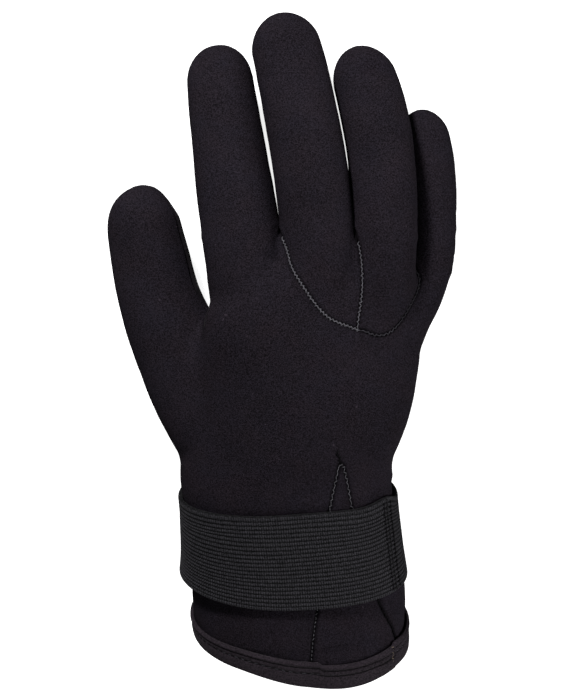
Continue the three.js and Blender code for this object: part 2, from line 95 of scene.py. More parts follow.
thumb = {
    "length": 111.4, "width": 32.0, "depth": 27.0, "across": -0.241, "up": 0.465, "tip": 0.53,
    "sections": [
        (0, 0, 0.855, 1.06, 1.11, 0),
        (0.126, -0.094, 0.811, 1.25, 1.3, 5),
        (0.269, -0.174, 0.709, 1.3, 1.27, 12),
        (0.431, -0.26, 0.549, 1.19, 1.185, 18),
        (0.592, -0.329, 0.375, 1.08, 1.11, 22),
        (0.736, -0.364, 0.23, 1.03, 1.067, 22),
        (0.88, -0.39, 0.105, 0.94, 1.007, 22),
        (1, -0.384, 0, 0.81, 0.92, 22),
    ],
}
index = {
    "length": 117.6, "width": 29.0, "depth": 26.0, "across": -0.201, "up": 0.756, "tip": 0.5,
    "sections": [
        (0, 0, 0.957, 0.76, 0.92, 4),
        (0.169, -0.026, 0.986, 1.05, 1.17, 4),
        (0.304, -0.037, 0.966, 1.1, 1.15, 4),
        (0.455, -0.061, 0.847, 1.075, 1.09, 4),
        (0.607, -0.084, 0.67, 1.03, 1.02, 4),
        (0.767, -0.108, 0.449, 0.97, 0.97, 4),
        (0.894, -0.126, 0.222, 0.917, 0.93, 4),
        (1, -0.129, 0, 0.855, 0.89, 4),
    ],
}
middle = {
    "length": 130.6, "width": 29.5, "depth": 26.5, "across": 0.098, "up": 0.756, "tip": 0.51,
    "sections": [
        (0, 0, 0.986, 0.746, 0.943, 0),
        (0.153, -0.004, 1.029, 1.017, 1.192, 0),
        (0.291, -0.007, 1.017, 1.01, 1.162, 0),
        (0.459, -0.022, 0.903, 0.997, 1.094, 0),
        (0.628, -0.048, 0.703, 1.003, 1.034, 0),
        (0.77, -0.076, 0.463, 0.983, 0.981, 0),
        (0.881, -0.101, 0.234, 0.963, 0.936, 0),
        (1, -0.1375, 0, 0.881, 0.89, 0),
    ],
}
ring = {
    "length": 117.4, "width": 27.0, "depth": 25.0, "across": 0.339, "up": 0.756, "tip": 0.54,
    "sections": [
        (0, 0, 0.9, 0.74, 0.96, -6),
        (0.169, 0.018, 0.938, 1.007, 1.2, -6),
        (0.321, 0.029, 0.921, 0.993, 1.168, -6),
        (0.474, 0.035, 0.802, 0.978, 1.104, -6),
        (0.601, 0.029, 0.66, 0.985, 1.056, -6),
        (0.728, 0.014, 0.49, 0.993, 1.024, -6),
        (0.846, -0.013, 0.28, 0.978, 0.984, -6),
        (1, -0.064, 0, 0.889, 0.92, -6),
    ],
}
pinky = {
    "length": 106.0, "width": 23.0, "depth": 22.0, "across": 0.356, "up": 0.674, "tip": 0.54,
    "sections": [
        (0, 0, 0.89, 0.78, 0.955, -12),
        (0.15, 0.051, 0.836, 1.043, 1.27, -16),
        (0.244, 0.096, 0.738, 1.043, 1.236, -16),
        (0.328, 0.146, 0.604, 1.026, 1.145, -16),
        (0.441, 0.189, 0.454, 1, 1.073, -16),
        (0.572, 0.204, 0.311, 0.991, 1.018, -16),
        (0.704, 0.205, 0.191, 0.991, 0.991, -14),
        (0.835, 0.197, 0.104, 0.957, 0.973, -12),
        (1, 0.162, 0, 0.852, 0.927, -10),
    ],
}
digits = [thumb, index, middle, ring, pinky]
for digit in digits:
    digit.update({"fullness": 2.1, "press": 0.8, "floor": 0.0, "seated": -1})
    digit["side_measure"] = digit["length"]


class Curve:
    """A smooth cubic through the rows of a table, by the distance along its first columns."""

    def __init__(self, rows, axes):
        self.rows = np.array(rows, float)
        steps = np.linalg.norm(np.diff(self.rows[:, :axes], axis=0), axis=1)
        self.marks = np.concatenate([[0.0], np.cumsum(steps)])
        after = np.minimum(np.arange(len(rows)) + 1, len(rows) - 1)
        before = np.maximum(np.arange(len(rows)) - 1, 0)
        spans = (self.marks[after] - self.marks[before])[:, None]
        self.slopes = (self.rows[after] - self.rows[before]) / spans
        self.reach = self.marks[-1]

    def at(self, distance):
        distance = np.asarray(distance, float)
        inside = np.clip(distance, 0.0, self.reach)
        row = np.clip(np.searchsorted(self.marks, inside, side="right") - 1, 0, len(self.rows) - 2)
        span = (self.marks[row + 1] - self.marks[row])[..., None]
        t = (inside - self.marks[row])[..., None] / span
        curve = (
            (2 * t**3 - 3 * t**2 + 1) * self.rows[row]
            + (3 * t**2 - 2 * t**3) * self.rows[row + 1]
            + (t**3 - 2 * t**2 + t) * span * self.slopes[row]
            + (t**3 - t**2) * span * self.slopes[row + 1]
        )
        end_slope = np.where(distance[..., None] < 0, self.slopes[0], self.slopes[-1])
        return curve + (distance - inside)[..., None] * end_slope


def lay_out(form):
    """Turns a form's shares into a curve of centre, half sizes and roll."""
    rest = form["sections"][form["seated"]][4] * form["depth"] / 2 - form["press"]
    rows = [
        (
            form["across"] * palm_width + side * form["side_measure"],
            form["up"] * palm_length + along * form["length"],
            rest + lift * (knuckle_lift - rest),
            wide * form["width"] / 2,
            deep * form["depth"] / 2,
            math.radians(roll),
        )
        for along, side, lift, wide, deep, roll in form["sections"]
    ]
    form["spine"] = Curve(rows, 3)
    form["reach"] = form["spine"].reach
    form["cap"] = form["tip"] * form["width"]


def unit(vectors):
    return vectors / np.linalg.norm(vectors, axis=-1, keepdims=True)


def sections_at(form, distance):
    """Centre, forward, sideways and upward directions and the row at distances along the spine."""
    row = form["spine"].at(distance)
    ahead = form["spine"].at(np.minimum(distance + 0.5, form["reach"]))
    behind = form["spine"].at(np.minimum(distance - 0.5, form["reach"] - 1))
    forward = unit(ahead[..., :3] - behind[..., :3])
    side = unit(np.cross(forward, (0.0, 0.0, 1.0)))
    up = np.cross(side, forward)
    cosine, sine = np.cos(row[..., 5:6]), np.sin(row[..., 5:6])
    return row[..., :3], forward, side * cosine + up * sine, up * cosine - side * sine, row


def skin_point(form, distance, angle, off=0.0):
    """A point on a form, by the distance along it and the angle from the little finger's side."""
    distance, angle, off = np.broadcast_arrays(
        np.asarray(distance, float), np.asarray(angle, float), np.asarray(off, float)
    )
    centre, _, side, up, row = sections_at(form, distance)
    into = np.maximum(0.0, distance - (form["reach"] - form["cap"])) / (form["cap"] + off)
    shrink = np.sqrt(np.maximum(0.0, 1 - into**2))
    power = 2 / form["fullness"]
    across = np.sign(np.cos(angle)) * np.abs(np.cos(angle)) ** power * (row[..., 3] + off) * shrink
    above = np.sign(np.sin(angle)) * np.abs(np.sin(angle)) ** power * (row[..., 4] + off) * shrink
    point = centre + side * across[..., None] + up * above[..., None]
    point[..., 2] = np.maximum(point[..., 2], form["floor"] - off)
    return point


forms = [palm, *digits]
for form in forms:
    lay_out(form)

# The rim is cut on a slant, longest towards the back of the wrist, and dips at the gusset.
hem_set_back = 2.5
hem_slant = 7.5
hem_turn = math.radians(30)
hem_dip = 4.4
hem_dip_at = math.radians(74)
hem_dip_reach = math.radians(52)
slant_fade = 40.0
past_rim = 18.0


def rim_at(angle):
    from_dip = np.minimum(np.abs(angle - hem_dip_at) / hem_dip_reach, 1)
    dip = hem_dip * np.cos(from_dip * math.pi / 2) ** 2
    return hem_set_back - hem_slant * np.cos(angle - hem_turn) - dip


def hem_distance(distance, angle):
    fade = np.maximum(0.0, 1 - np.maximum(distance, 0.0) / slant_fade)
    return distance + rim_at(angle) * fade


def tube(form, start, rings, sides):
    """A closed loft of a form, as points and faces."""
    straight = np.linspace(start, form["reach"] - form["cap"], rings)
    turns = np.linspace(0, math.pi / 2, 13)[1:-1]
    rounded = form["reach"] - form["cap"] + form["cap"] * np.sin(turns)
    distance = np.concatenate([straight, rounded])
    angle = np.arange(sides) / sides * 2 * math.pi
    points = skin_point(form, distance[:, None], angle[None, :]).reshape(-1, 3)
    tip = skin_point(form, form["reach"], 0.0)
    faces = []
    for ring in range(len(distance) - 1):
        for k in range(sides):
            low, high = ring * sides, (ring + 1) * sides
            faces.append((low + k, low + (k + 1) % sides, high + (k + 1) % sides, high + k))
    last = (len(distance) - 1) * sides
    faces.extend((last + k, last + (k + 1) % sides, len(points)) for k in range(sides))
    faces.append(tuple(reversed(range(sides))))
    return np.vstack([points, tip]), faces


tubes = [tube(palm, -past_rim, 130, 112)]
tubes += [tube(digit, 0.0, 90, 72) for digit in digits]

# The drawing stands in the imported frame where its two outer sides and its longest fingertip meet
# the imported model's.
drawn = np.vstack([points for points, _ in tubes])
outer_boxes = [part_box(node) for node in ("back_panel", "palm_panel", "middle_finger_back")]
frame_low = np.min([low for low, _ in outer_boxes], axis=0)
frame_high = np.max([high for _, high in outer_boxes], axis=0)
shift = np.array([
    (frame_low[0] + frame_high[0]) / 2 / MM - (drawn[:, 0].min() + drawn[:, 0].max()) / 2,
    frame_high[1] / MM - drawn[:, 1].max(),
    0.0,
])


def mesh_of(name, points, faces):
    mesh = bpy.data.meshes.new(name)
    mesh.from_pydata(((points + shift) * MM).tolist(), [], [list(face) for face in faces])
    mesh.shade_smooth()
    return mesh


def object_of(name, mesh, material=None):
    piece = bpy.data.objects.new(name, mesh)
    bpy.context.scene.collection.objects.link(piece)
    if material:
        mesh.materials.append(material)
    return piece


def applied(piece):
    """The evaluated mesh of an object, which is then removed."""
    evaluated = piece.evaluated_get(bpy.context.evaluated_depsgraph_get())
    mesh = bpy.data.meshes.new_from_object(evaluated)
    bpy.data.objects.remove(piece)
    return mesh


def as_arrays(mesh):
    """The points of a mesh in the drawing's millimetres, and its triangles."""
    mesh.calc_loop_triangles()
    points = np.empty(len(mesh.vertices) * 3)
    mesh.vertices.foreach_get("co", points)
    triangles = np.empty(len(mesh.loop_triangles) * 3, np.int32)
    mesh.loop_triangles.foreach_get("vertices", triangles)
    return points.reshape(-1, 3) / MM - shift, triangles.reshape(-1, 3).astype(np.int64)


# Neighbouring fingers lie against each other but are separate down to their forks, so they are
# spread by a shear before the tubes are fused into one skin, and brought back together after it.
index_fork = 174.0
ring_fork = 174.0
pinky_fork = 157.0
spread_gap = 5.0
spread_run = 8.0
slit = 0.25


def soft_step(value, low, high):
    t = np.clip((value - low) / (high - low), 0, 1)
    return t * t * (3 - 2 * t)


def bell(apart, width):
    return np.exp(-((apart / width) ** 2))


def spread(form, y):
    """How far a finger is moved sideways at a place along the hand."""
    if form is index:
        return -spread_gap * soft_step(y, index_fork, index_fork + spread_run)
    moved = np.zeros_like(y)
    if form in (ring, pinky):
        moved = moved + spread_gap * soft_step(y, ring_fork, ring_fork + spread_run)
    if form is pinky:
        moved = moved + spread_gap * soft_step(y, pinky_fork, pinky_fork + spread_run)
    return moved


fuse_step = 1.2
all_points, all_faces, count = [], [], 0
for form, (points, faces) in zip(forms, tubes):
    points = points.copy()
    points[:, 0] += spread(form, points[:, 1])
    all_points.append(points)
    all_faces += [tuple(corner + count for corner in face) for face in faces]
    count += len(points)
fused = object_of("fused", mesh_of("fused", np.vstack(all_points), all_faces))
remesh = fused.modifiers.new("one skin", "REMESH")
remesh.mode = "VOXEL"
remesh.voxel_size = fuse_step * MM
points, triangles = as_arrays(applied(fused))


def edges_of(triangles):
    pairs = np.vstack([triangles[:, [0, 1]], triangles[:, [1, 2]], triangles[:, [2, 0]]])
    return np.unique(np.sort(pairs, axis=1), axis=0)


def neighbour_mean(values, edges):
    total = np.zeros_like(values)
    for axis in range(values.shape[1]):
        total[:, axis] += np.bincount(edges[:, 0], values[edges[:, 1], axis], len(values))
        total[:, axis] += np.bincount(edges[:, 1], values[edges[:, 0], axis], len(values))
    return total / np.bincount(edges.ravel(), minlength=len(values))[:, None]


def normals_of(points, triangles):
    a, b, c = (points[triangles[:, k]] for k in range(3))
    flat = np.cross(b - a, c - a)
    total = np.zeros_like(points)
    for k in range(3):
        for axis in range(3):
            total[:, axis] += np.bincount(triangles[:, k], flat[:, axis], len(points))
    return unit(total)


# The voxels' steps are smoothed out without shrinking the skin. Then the creases between the tubes
# are filled, a little everywhere and longer on the palm, below the forks.
edges = edges_of(triangles)
smoothing_steps = 8
for step in range(smoothing_steps):
    for amount in (0.5, -0.52):
        points = points + amount * (neighbour_mean(points, edges) - points)
crease_fill = 10
palm_fill = 60
fill_share = 0.5
full_hollow = 0.02
below_forks = soft_step(-points[:, 1], -168, -156)
for step in range(crease_fill + palm_fill):
    pull = neighbour_mean(points, edges) - points
    normals = normals_of(points, triangles)
    hollow = np.einsum("ij,ij->i", pull, normals)
    reach = 1.0 if step < crease_fill else below_forks
    share = np.clip(hollow / full_hollow, 0, 1) * (fill_share * reach)
    points = points + pull * share[:, None]


def local_place(form, points):
    """Distance along a form, across and above its middle, and how far outside its skin."""
    stations = np.linspace(-past_rim if form is palm else 0.0, form["reach"], 120)
    centre, forward, side, up, row = sections_at(form, stations)
    nearest = np.empty(len(points), np.int64)
    for first in range(0, len(points), 8000):
        part = points[first : first + 8000]
        far = (part**2).sum(1)[:, None] - 2 * part @ centre.T + (centre**2).sum(1)[None]
        nearest[first : first + 8000] = far.argmin(1)
    apart = points - centre[nearest]
    along = stations[nearest] + (apart * forward[nearest]).sum(1)
    across = (apart * side[nearest]).sum(1)
    above = (apart * up[nearest]).sum(1)
    wide, deep = row[nearest, 3], row[nearest, 4]
    fullness = form["fullness"]
    ratio = (np.abs(across / wide) ** fullness + np.abs(above / deep) ** fullness) ** (1 / fullness)
    into = np.maximum(0.0, along - (form["reach"] - form["cap"])) / form["cap"]
    return along, across, above, (np.hypot(ratio, into) - 1) * np.minimum(wide, deep)


# The fingers come back together: each point moves with the forms that it lies on. Where two
# fingers would run into each other, both are pressed flat with a slit between them.
fork_margin = 20
touch_falloff = 0.5
most_push = 3
fingers = np.flatnonzero(points[:, 1] > pinky_fork - fork_margin)
at = points[fingers]
total_move, total_weight, lies_on = np.zeros(len(at)), np.zeros(len(at)), []
for form in forms:
    moved = spread(form, at[:, 1])
    off_skin = np.abs(local_place(form, at - np.outer(moved, (1, 0, 0)))[3])
    near = np.exp(-off_skin / touch_falloff) + 1e-12
    total_move += near * moved
    total_weight += near
    lies_on.append(off_skin)
points[fingers, 0] -= total_move / total_weight
owner_form = np.argmin(lies_on, axis=0)
pairs = ((index, middle, index_fork), (middle, ring, ring_fork), (ring, pinky, pinky_fork))
for step in range(4):
    at = points[fingers]
    outward = normals_of(points, triangles)[fingers]
    push = np.zeros(len(at))
    for first, second, fork in pairs:
        past = soft_step(at[:, 1], fork - 1, fork + 5)
        for own, other in ((first, second), (second, first)):
            apart = local_place(other, at)[3] - local_place(own, at)[3]
            needed = np.clip((slit - apart) / 2, 0, most_push) * past
            push = np.maximum(push, needed * (owner_form == forms.index(own)))
    points[fingers] -= outward * push[:, None]

# The webs between the fingers, where a point lies near two forms, are smoothed once more.
web_steps = 10
web_share = 0.6
web_top = 188
second_form = np.sort(lies_on, axis=0)[1]
web = np.zeros((len(points), 1))
low_down = soft_step(-points[fingers, 1], -web_top - 6, -web_top)
web[fingers, 0] = soft_step(-second_form, -3.5, -1.0) * low_down
for step in range(web_steps):
    points = points + web_share * web * (neighbour_mean(points, edges) - points)


# The cut lines of the panels, in plan, as shares of the palm's width and length. The climbing side
# of the U leans over the little finger, so it is read at x minus the height.
u_fall = [
    (-0.3, 1.6), (-0.262, 1.48), (-0.2, 1.34), (-0.14, 1.2), (-0.095, 1.08), (-0.047, 0.975),
    (0, 0.933), (0.118, 0.857), (0.259, 0.822), (0.35, 0.79), (0.5, 0.72),
]
u_climb = [
    (-0.7, 0.76), (-0.57, 0.8), (-0.456, 0.822), (-0.344, 0.806), (-0.254, 0.81), (-0.157, 0.838),
    (-0.081, 0.867), (0.02, 0.898), (0.11, 0.945), (0.16, 1.03), (0.205, 1.11), (0.23, 1.45),
]
centre_seam = [
    (0.04, 1.62), (0.09, 1.54), (0.122, 1.442), (0.158, 1.337), (0.202, 1.221), (0.231, 1.115),
    (0.262, 1.03), (0.282, 0.927), (0.259, 0.822), (0.256, 0.7),
]
gusset_seam = [
    (0.03, -0.3), (0.057, 0.026), (0.08, 0.138), (0.138, 0.39), (0.161, 0.453), (0.188, 0.51),
    (0.215, 0.463), (0.241, 0.396), (0.368, 0.15), (0.458, 0.042), (0.65, -0.3),
]


def plan_curve(table):
    return Curve([(side * palm_width, along * palm_length) for side, along in table], 2)


def side_of(curve, plan):
    """How far a point in plan lies to the left of a line, walked in its own order."""
    line = curve.at(np.linspace(0, curve.reach, 120))
    best = np.full(len(plan), 1e9)
    signed = np.zeros(len(plan))
    for start, end in zip(line[:-1], line[1:]):
        run = end - start
        share = np.clip((plan - start) @ run / (run @ run), 0, 1)
        apart = plan - start - share[:, None] * run
        distance = np.hypot(apart[:, 0], apart[:, 1])
        side = np.sign(run[0] * apart[:, 1] - run[1] * apart[:, 0])
        closer = distance < best - 1e-9
        best = np.where(closer, distance, best)
        signed = np.where(closer, distance * side, signed)
    return signed


height = np.zeros(len(points))
weight = np.zeros(len(points))
off_skin = {}
for form in forms:
    along, across, above, off_skin[form["across"]] = local_place(form, points)
    near = np.exp(-np.abs(off_skin[form["across"]]) / 0.7)
    height += near * above
    weight += near
    if form is palm:
        palm_along = along
        palm_angle = np.arctan2(above / form["depth"] * form["width"], across)
# In the crook of the thumb, what faces upward belongs to the back.
middle_height = height / np.maximum(weight, 1e-9)
off_both = np.maximum(np.abs(off_skin[palm["across"]]), np.abs(off_skin[thumb["across"]]))
in_crook = soft_step(-off_both, -12, -8)
upward_from = 0.08
crook_height = 20
out_of_reach = 60
facing_up = crook_height * (normals_of(points, triangles)[:, 2] - upward_from)
middle_height = np.maximum(middle_height, facing_up - out_of_reach * (1 - in_crook))
plan = points[:, :2]
leaning = np.column_stack([points[:, 0] - points[:, 2], points[:, 1]])


def split_between(plan_side, far, near, fork):
    """A seam follows its line in plan up to a fork, then runs between the two fingers."""
    between = (off_skin[far["across"]] - off_skin[near["across"]]) / 2
    past = soft_step(points[:, 1], fork - 3, fork + 6)
    return plan_side * (1 - past) + between * past


fall_side = split_between(side_of(plan_curve(u_fall), plan), index, middle, index_fork)
climb_side = split_between(side_of(plan_curve(u_climb), leaning), pinky, ring, pinky_fork)
u_side = np.minimum(fall_side, climb_side)
centre_side = split_between(side_of(plan_curve(centre_seam), plan), middle, ring, ring_fork)
gusset_side = -side_of(plan_curve(gusset_seam), plan)
rim_side = palm_along - rim_at(palm_angle)
rim_side = np.where(points[:, 1] < palm_length / 2, rim_side, palm_length)

# Columns of the skin's table: place, normal, then the fields that the cuts follow.
PLACE, NORMAL = slice(0, 3), slice(3, 6)
MID, U_SIDE, CENTRE, GUSSET, RIM, ALONG, SEAM = range(6, 13)
table = np.column_stack([
    points, normals_of(points, triangles), middle_height, u_side, centre_side, gusset_side,
    rim_side, palm_along, np.zeros(len(points)),
])


def cut(table, triangles, column, level=0.0, snap=0.25, locked=None):
    """Splits the triangles where a column crosses a level, after close points are moved onto it."""
    value = table[:, column] - level
    value[np.abs(value) < 1e-5] = 0
    table = table.copy()
    edges = edges_of(triangles)
    crossing = edges[value[edges[:, 0]] * value[edges[:, 1]] < 0]
    share = value[crossing[:, 0]] / (value[crossing[:, 0]] - value[crossing[:, 1]])
    point = np.concatenate([crossing[:, 0], crossing[:, 1]])
    other = np.concatenate([crossing[:, 1], crossing[:, 0]])
    share = np.concatenate([share, 1 - share])
    close = share < snap
    if locked is not None:
        close &= ~locked[point]
    point, other, share = point[close], other[close], share[close]
    order = np.argsort(share)
    point, first = np.unique(point[order], return_index=True)
    other, share = other[order][first], share[order][first][:, None]
    table[point] = table[point] * (1 - share) + table[other] * share
    value[point] = 0
    crossing = edges[value[edges[:, 0]] * value[edges[:, 1]] < 0]
    low, high = value[crossing[:, 0]], value[crossing[:, 1]]
    share = (low / (low - high))[:, None]
    added = table[crossing[:, 0]] * (1 - share) + table[crossing[:, 1]] * share
    added[:, column] = level
    number = {}
    for k, (a, b) in enumerate(crossing.tolist()):
        number[a, b] = number[b, a] = len(table) + k
    table = np.vstack([table, added])
    table[: len(value)][value == 0, column] = level
    sign = np.sign(value)[triangles]
    touched = (sign.min(1) < 0) & (sign.max(1) > 0)
    made = []
    for face in triangles[touched].tolist():
        for turn in range(3):
            a, b, c = face[turn], face[(turn + 1) % 3], face[(turn + 2) % 3]
            ab, ca = number.get((a, b)), number.get((c, a))
            if ab is not None and ca is not None:
                made += [(a, ab, ca), (ab, b, c), (ab, c, ca)]
                break
            if ab is not None and value[c] == 0:
                made += [(a, ab, c), (ab, b, c)]
                break
    return table, np.vstack([triangles[~touched], np.array(made, np.int64)])


cut_columns = [MID, U_SIDE, CENTRE, GUSSET, RIM]
for done, column in enumerate(cut_columns):
    on_earlier = (table[:, cut_columns[:done]] == 0).any(1)
    table, triangles = cut(table, triangles, column, locked=on_earlier)

# Which panel each triangle belongs to.
BACK, MIDDLE, RING, PALM, WRIST = range(5)
gusset_top = 0.6 * palm_length


def owners(table, triangles):
    total = table[triangles].sum(1)
    owner = np.full(len(triangles), BACK)
    owner[(total[:, GUSSET] > 0) & (total[:, ALONG] < 3 * gusset_top)] = WRIST
    owner[total[:, U_SIDE] > 0] = MIDDLE
    owner[(total[:, U_SIDE] > 0) & (total[:, CENTRE] > 0)] = RING
    owner[total[:, MID] < 0] = PALM
    return owner


triangles = triangles[table[triangles].sum(1)[:, RIM] > 0]


def seam_edges(triangles, owner):
    """The edges at which two panels meet, and which two."""
    pairs = np.vstack([triangles[:, [0, 1]], triangles[:, [1, 2]], triangles[:, [2, 0]]])
    pairs = np.sort(pairs, axis=1)
    owner = np.tile(owner, 3)
    order = np.lexsort((pairs[:, 1], pairs[:, 0]))
    pairs, owner = pairs[order], owner[order]
    met = np.flatnonzero((pairs[1:] == pairs[:-1]).all(1) & (owner[1:] != owner[:-1]))
    return pairs[met], np.sort(np.column_stack([owner[met], owner[met + 1]]), axis=1)


def distance_to(cloud, places):
    tree = KDTree(len(cloud))
    for k, point in enumerate(cloud.tolist()):
        tree.insert(point, k)
    tree.balance()
    return np.array([tree.find(place)[2] for place in places.tolist()])


# Each panel's edge dips into the seam and swells a little beside it, as two edges of foam rubber
# do where a thread pulls them together. The skin gets rows of points along the seams for that.
on_seam, _ = seam_edges(triangles, owners(table, triangles))
shares = np.linspace(0, 1, 6)[None, :, None]
starts, stops = table[on_seam[:, 0], None, PLACE], table[on_seam[:, 1], None, PLACE]
cloud = (starts * (1 - shares) + stops * shares).reshape(-1, 3)
table[:, SEAM] = distance_to(cloud, table[:, PLACE])
table[np.unique(on_seam), SEAM] = 0.0
for row_level in (0.4, 0.85, 1.5):
    fixed = (table[:, cut_columns] == 0).any(1)
    table, triangles = cut(table, triangles, SEAM, row_level, 0.15, fixed)
owner = owners(table, triangles)

seam_depth = 0.55
seam_groove_width = 0.62
seam_swell = 0.16
swell_from_seam = 1.7
swell_width = 0.8
press_in = 0.45
long_waves = 0.28
short_waves = 0.1
strap_from = 30.5
strap_width = 40.0
binding_width = 9.5
places, normals = table[:, PLACE], unit(table[:, NORMAL])
seam_near = table[:, SEAM]
relief = -seam_depth * bell(seam_near, seam_groove_width)
relief += seam_swell * bell(seam_near - swell_from_seam, swell_width)


def rolling(places, size, seed):
    """Smooth noise between about -1 and 1 at points of the skin."""
    drift = Vector((seed * 7.3, seed * 3.1, seed * 5.7))
    return np.array([noise.noise(Vector(place) / size + drift) for place in places.tolist()])


# The foam sheet is never quite even. The strap and the hem tape press it in.
along = table[:, ALONG]
under_strap = soft_step(along, strap_from - 4, strap_from) * soft_step(
    -along, -strap_from - strap_width - 4, -strap_from - strap_width + 2
)
under_tape = soft_step(-along, -binding_width - 1.5, -binding_width)
covered = np.maximum(under_strap, under_tape) * (places[:, 1] < palm_length / 2)
waves = long_waves * rolling(places, 17.0, 1) + short_waves * rolling(places, 6.5, 2)
relief += (1 - covered) * waves
relief -= press_in * covered
skin = places + normals * relief[:, None]


def set_field(mesh, label, values):
    """Stores a number at each point of a mesh, for its shader to read."""
    data = mesh.attributes.new(label, "FLOAT", "POINT").data
    data.foreach_set("value", values.ravel().astype(np.float32))


def wall_mesh(name, triangles, places, inward, near):
    """A sheet with its thickness: the outer face, the inner face and the cut edge between."""
    used, faces = np.unique(triangles, return_inverse=True)
    faces = faces.reshape(-1, 3)
    outer = places[used].copy()
    pairs = np.vstack([faces[:, [0, 1]], faces[:, [1, 2]], faces[:, [2, 0]]])
    code = pairs[:, 0] * len(used) + pairs[:, 1]
    rim = pairs[~np.isin(code, pairs[:, 1] * len(used) + pairs[:, 0])]
    on_rim = np.unique(rim)
    toward = neighbour_mean(outer, edges_of(faces))[on_rim] - outer[on_rim]
    toward /= np.maximum(np.linalg.norm(toward, axis=1, keepdims=True), 1e-6)
    outer[on_rim] += toward * sewn_gap / 2
    inner = outer + inward[used]
    far = len(used)
    walls = np.column_stack([rim[:, 1], rim[:, 0], rim[:, 0] + far, rim[:, 1] + far])
    mesh = mesh_of(
        name,
        np.vstack([outer, inner]),
        faces.tolist() + (faces[:, ::-1] + far).tolist() + walls.tolist(),
    )
    mesh.set_sharp_from_angle(angle=math.radians(60))
    for label, values in near.items():
        set_field(mesh, label, np.tile(values[used], 2))
    return mesh


class Wire:
    """An output in a node tree. Arithmetic on it adds Math nodes."""

    def __init__(self, tree, socket=None):
        self.tree = tree
        self.socket = socket

    def node(self, kind, settings=None, sockets=None, output=0):
        made = self.tree.nodes.new(kind)
        for setting, value in (settings or {}).items():
            if setting == "stops":
                for stop, (place, colour) in zip(made.color_ramp.elements, value):
                    stop.position, stop.color = place, colour
            else:
                setattr(made, setting, value)
        for socket, value in (sockets or {}).items():
            if isinstance(value, Wire):
                self.tree.links.new(value.socket, made.inputs[socket])
            else:
                made.inputs[socket].default_value = value
        return Wire(self.tree, made.outputs[output])

    def maths(self, operation, *values):
        return self.node("ShaderNodeMath", {"operation": operation}, dict(enumerate(values)))

    def field(self, label):
        return self.node("ShaderNodeAttribute", {"attribute_name": label}, output=2)

    def __add__(self, other):
        return self.maths("ADD", self, other)

    def __sub__(self, other):
        return self.maths("SUBTRACT", self, other)

    def __rsub__(self, other):
        return self.maths("SUBTRACT", other, self)

    def __mul__(self, other):
        return self.maths("MULTIPLY", self, other)

    __radd__ = __add__
    __rmul__ = __mul__


def new_material(name, roughness, sheen=0.0):
    """A material, a wire to build on, its shader node and the place on the object."""
    material = bpy.data.materials.new(name)
    material.use_nodes = True
    tree = material.node_tree
    shader = tree.nodes["Principled BSDF"]
    shader.inputs["Roughness"].default_value = roughness
    shader.inputs["Specular IOR Level"].default_value = 0.04
    shader.inputs["Sheen Weight"].default_value = sheen
    shader.inputs["Sheen Roughness"].default_value = 0.6
    wire = Wire(tree)
    return material, wire, shader, wire.node("ShaderNodeTexCoord", output=3)


def mixed(wire, factor, first, second):
    """A colour between two, through a Mix node."""
    return wire.node(
        "ShaderNodeMix",
        {"data_type": "RGBA"},
        {"Factor": factor, 6: first, 7: second},
        output=2,
    )


def noise_wire(wire, place, size, detail=2.0, roughness=0.5):
    """Noise whose blobs are about size millimetres wide."""
    return wire.node(
        "ShaderNodeTexNoise", {},
        {"Vector": place, "Scale": 1 / (size * MM), "Detail": detail, "Roughness": roughness},
    )


def plug(wire, shader, socket):
    wire.tree.links.new(wire.socket, shader.inputs[socket])


def bump_of(wire, height, depth, shader):
    """Sends a height in millimetres to the shader's normal."""
    bump = wire.node("ShaderNodeBump", {}, {"Height": height * (depth * MM), "Distance": 1.0})
    plug(bump, shader, "Normal")


def jersey(name, dark, light, seam_groove_shade):
    """Knitted nylon on foam: a fine uneven grain, faint clouds and a few specks of lint, and painted
    shade darkening the seam grooves.
    """
    material, wire, shader, place = new_material(name, 0.9)
    grain = noise_wire(wire, place, 0.55, 3.0, 0.75)
    clouds = noise_wire(wire, place, 24.0, 2.0)
    tint = noise_wire(wire, place, 11.0, 2.0)
    # The seam field is a mask of painted shade: near 1 in a seam's groove, falling off beside it.
    seam = wire.field("seam")
    shade = grain * 4.2 + clouds * 0.5 - 1.85
    bluer = tuple(tone * share for tone, share in zip(light, (0.88, 0.98, 1.06)))
    lit = mixed(wire, tint * 2 - 0.5, (*light, 1), (*bluer, 1))
    base = mixed(wire, shade, (*dark, 1), lit)
    lint = noise_wire(wire, place, 1.8, 1.0)
    speck = lint.maths("GREATER_THAN", lint, 0.79) * 0.25
    base = mixed(wire, speck, base, (*[4 * tone for tone in light], 1))
    # Painted shade: towards each seam the cloth turns to the darkest colour, standing in for the
    # shadow in the groove.
    base = mixed(wire, seam * 0.9, base, (*seam_groove_shade, 1))
    plug(base, shader, "Base Color")
    bump_of(wire, grain + clouds * 0.3, 0.16, shader)
    return material


cloth_dark = (0.0030, 0.0023, 0.0031)
cloth_light = (0.0192, 0.0146, 0.0194)
# The darkest cloth colour is painted shade for the seam grooves, not a colour of the cloth.
cloth_groove_shade = (0.0015, 0.0012, 0.0017)
neoprene = jersey("neoprene", cloth_dark, cloth_light, cloth_groove_shade)


def grip(name, dark, light):
    """The palm's jersey, printed with small rubber dots in rows."""
    material, wire, shader, place = new_material(name, 0.7, sheen=0.02)
    grain = noise_wire(wire, place, 0.6, 3.0, 0.6)
    dots = wire.node(
        "ShaderNodeTexVoronoi",
        {"feature": "F1"},
        {"Vector": place, "Scale": 1 / (2.2 * MM), "Randomness": 0.35},
    )
    dot = 1 - dots * 2.2
    dot = dot.maths("MAXIMUM", dot, 0.0)
    base = mixed(wire, grain, (*dark, 1), (*light, 1))
    base = mixed(wire, dot * 0.6, base, (*[1.8 * tone for tone in light], 1))
    plug(base, shader, "Base Color")
    bump_of(wire, grain * 0.3 + dot, 0.25, shader)
    return material


grip_rubber = grip("grip palm", (0.0018, 0.0013, 0.0019), (0.0085, 0.0064, 0.0088))

